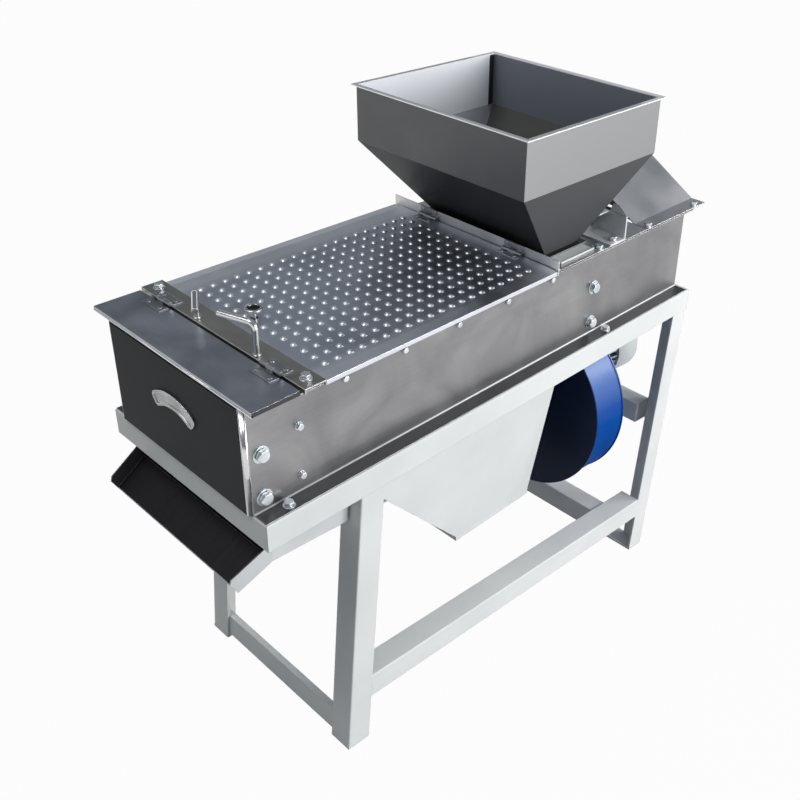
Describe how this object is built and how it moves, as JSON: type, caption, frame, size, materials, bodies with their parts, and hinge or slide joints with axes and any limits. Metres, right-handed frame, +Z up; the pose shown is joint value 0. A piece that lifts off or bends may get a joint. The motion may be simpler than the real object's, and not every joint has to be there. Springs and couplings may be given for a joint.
{
  "type": "peanut peeler",
  "caption": "Inclined dry peanut peeler on an angle-iron frame: hopper with slide gate, abrasive roller over a sieve trough, hinged dimpled cover, discharge chute and suction fan.",
  "frame": {"origin": "on the floor, under the middle of the machine's length", "axes": "+X from the discharge chute towards the hopper and fan motor, +Y across, +Z up"},
  "size_m": [1.146, 0.4074, 1.0533],
  "materials": {
    "frame_paint": "smooth white enamel",
    "stainless_sheet": "brushed stainless sheet",
    "dark_panel": "smooth charcoal paint",
    "bar_steel": "dull olive grey steel",
    "polished_steel": "polished steel",
    "zinc": "bright zinc plating",
    "beam_steel": "plain bar steel",
    "cast_iron": "machined grey iron",
    "emery": "coarse emery coat on a steel tube",
    "belt_rubber": "matte black rubber",
    "chute_steel": "light grey outside, dark inside",
    "fan_blue": "gloss blue enamel",
    "fan_navy": "dark navy enamel",
    "impeller_aluminium": "plain sheet aluminium",
    "motor_grey": "grey motor enamel",
    "cowl_plastic": "light grey plastic"
  },
  "bodies": {
    "base": {"top_rail_right": "frame_paint", "top_rail_left": "frame_paint", "top_cross_front": "frame_paint", "top_cross_rear": "frame_paint", "top_cross_middle": "frame_paint", "leg_front_right": "frame_paint", "leg_front_left": "frame_paint", "leg_rear_right": "frame_paint", "leg_rear_left": "frame_paint", "lower_rail_right": "frame_paint", "lower_rail_left": "frame_paint", "lower_cross": "frame_paint", "foot_bars": "frame_paint", "fan_motor_cross": "frame_paint", "skin_hopper": "frame_paint", "drive_motor_plate": "frame_paint", "fan_motor_plate": "frame_paint", "side_panel_right": "stainless_sheet", "side_panel_left": "stainless_sheet", "rear_end_panel": "stainless_sheet", "hinge_strip": "stainless_sheet", "hopper_base_plate": "stainless_sheet", "hopper": "stainless_sheet", "drive_hood": "stainless_sheet", "front_bulkhead": "stainless_sheet", "rear_chamber_wall": "stainless_sheet", "peeling_trough": "stainless_sheet", "guide_liners": "stainless_sheet", "fixed_hinge_leaves": "stainless_sheet", "front_end_panel": "dark_panel", "top_bar": "bar_steel", "crescent_plate": "polished_steel", "hopper_brackets": "zinc", "panel_bolts": "zinc", "deck_bolts": "zinc", "front_bearing_beam": "beam_steel", "rear_bearing_beam": "beam_steel", "shaft_bearings": "cast_iron", "drive_belt": "belt_rubber", "discharge_chute": "chute_steel", "fan_housing": "fan_blue", "fan_inlet_duct": "fan_blue", "fan_front_plate": "fan_navy", "drive_motor": "motor_grey", "fan_motor": "motor_grey", "drive_motor_cowl": "cowl_plastic", "fan_motor_cowl": "cowl_plastic"},
    "roller": {"roller": "emery", "roller_shaft": "polished_steel", "roller_pulley": "cast_iron"},
    "motor_rotor": {"motor_pulley": "cast_iron"},
    "fan_rotor": {"fan_impeller": "impeller_aluminium"},
    "lid": {"front_lid": "stainless_sheet", "lid_hinge_leaves": "stainless_sheet"},
    "cover": {"screen_cover": "stainless_sheet", "cover_hinge_leaves": "stainless_sheet", "cover_knob": "polished_steel"},
    "vane_rod_right": {"vane_rod_right": "polished_steel"},
    "vane_rod_left": {"vane_rod_left": "polished_steel"},
    "feed_gate": {"feed_gate": "zinc"}
  },
  "joints": [
    {"name": "roller_spin", "type": "hinge", "parent": "base", "child": "roller", "pos_m": [-0.13279, 0, 0.64177], "axis": [0.9962, 0, 0.0872], "continuous": true},
    {"name": "motor_spin", "type": "hinge", "parent": "base", "child": "motor_rotor", "pos_m": [0.2383, 0.092, 0.6913], "axis": [0.9962, 0, 0.0872], "continuous": true},
    {"name": "fan_spin", "type": "hinge", "parent": "base", "child": "fan_rotor", "pos_m": [0.29101, 0, 0.428], "axis": [1, 0, 0], "continuous": true},
    {"name": "lid_hinge", "type": "hinge", "parent": "base", "child": "lid", "pos_m": [-0.48396, 0, 0.74535], "axis": [0, 1, 0], "range_deg": [0, 35]},
    {"name": "cover_hinge", "type": "hinge", "parent": "base", "child": "cover", "pos_m": [0.03904, 0, 0.7888], "axis": [0, 1, 0], "range_deg": [0, 50]},
    {"name": "vane_right_turn", "type": "hinge", "parent": "base", "child": "vane_rod_right", "pos_m": [-0.47407, -0.088, 0.74241], "axis": [-0.0872, 0, 0.9962], "range_deg": [-17, 73]},
    {"name": "vane_left_turn", "type": "hinge", "parent": "base", "child": "vane_rod_left", "pos_m": [-0.47407, 0.06, 0.74241], "axis": [0.0872, 0, -0.9962], "range_deg": [-32, 58]},
    {"name": "gate_slide", "type": "slide", "parent": "base", "child": "feed_gate", "axis": [0, -1, 0], "range_m": [0, 0.26]}
  ],
  "couplings": [
    {"joint": "motor_spin", "follows": "roller_spin", "ratio": 1.5861}
  ]
}
